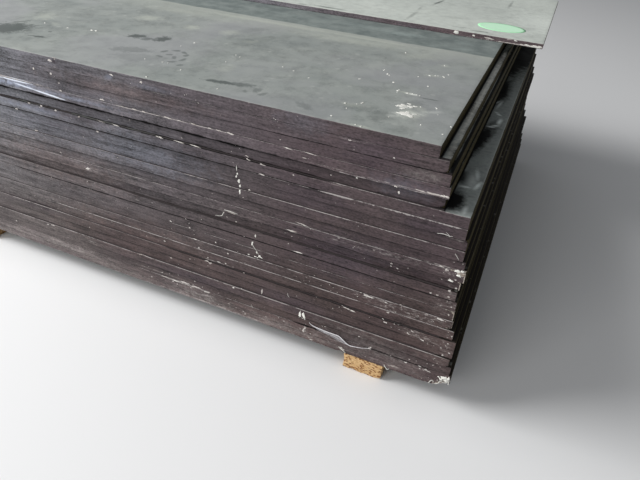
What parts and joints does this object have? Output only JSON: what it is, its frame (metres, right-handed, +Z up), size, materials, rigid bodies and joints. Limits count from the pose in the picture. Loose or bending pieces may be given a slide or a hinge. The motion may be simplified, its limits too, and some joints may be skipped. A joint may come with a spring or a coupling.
{
  "type": "plywood sheet stack",
  "caption": "Stack of dark film-faced plywood sheets with stepped, worn edges, lying on low bearers, with a loose thinner half sheet on top.",
  "frame": {"origin": "on the floor, under the middle of the whole stack's bounding box", "axes": "+X along the sheets' length towards the stepped right-hand ends seen in the picture, +Y across the sheets away from the long front edges, +Z up"},
  "size_m": [2.545, 1.277, 0.533],
  "materials": {
    "film_faced_plywood": "dark phenolic film on the faces and dark purple-brown sealing paint on the sawn edges, dusty and scuffed",
    "half_sheet_film": "dark brown phenolic film, smeared with dust, with a pale chipped saw-cut edge",
    "chipboard": "raw sawn edge of coarse chipboard"
  },
  "bodies": {
    "root": {"sheet_01": "film_faced_plywood", "sheet_02": "film_faced_plywood", "sheet_03": "film_faced_plywood", "sheet_04": "film_faced_plywood", "sheet_05": "film_faced_plywood", "sheet_06": "film_faced_plywood", "sheet_07": "film_faced_plywood", "sheet_08": "film_faced_plywood", "sheet_09": "film_faced_plywood", "sheet_10": "film_faced_plywood", "sheet_11": "film_faced_plywood", "sheet_12": "film_faced_plywood", "sheet_13": "film_faced_plywood", "sheet_14": "film_faced_plywood", "sheet_15": "film_faced_plywood", "sheet_16": "film_faced_plywood", "sheet_17": "film_faced_plywood", "sheet_18": "film_faced_plywood", "sheet_19": "film_faced_plywood", "sheet_20": "film_faced_plywood", "sheet_21": "film_faced_plywood", "sheet_22": "film_faced_plywood", "sheet_23": "film_faced_plywood", "half_sheet": "half_sheet_film", "bearer_right": "chipboard", "bearer_middle": "chipboard", "bearer_left": "chipboard"}
  },
  "joints": []
}
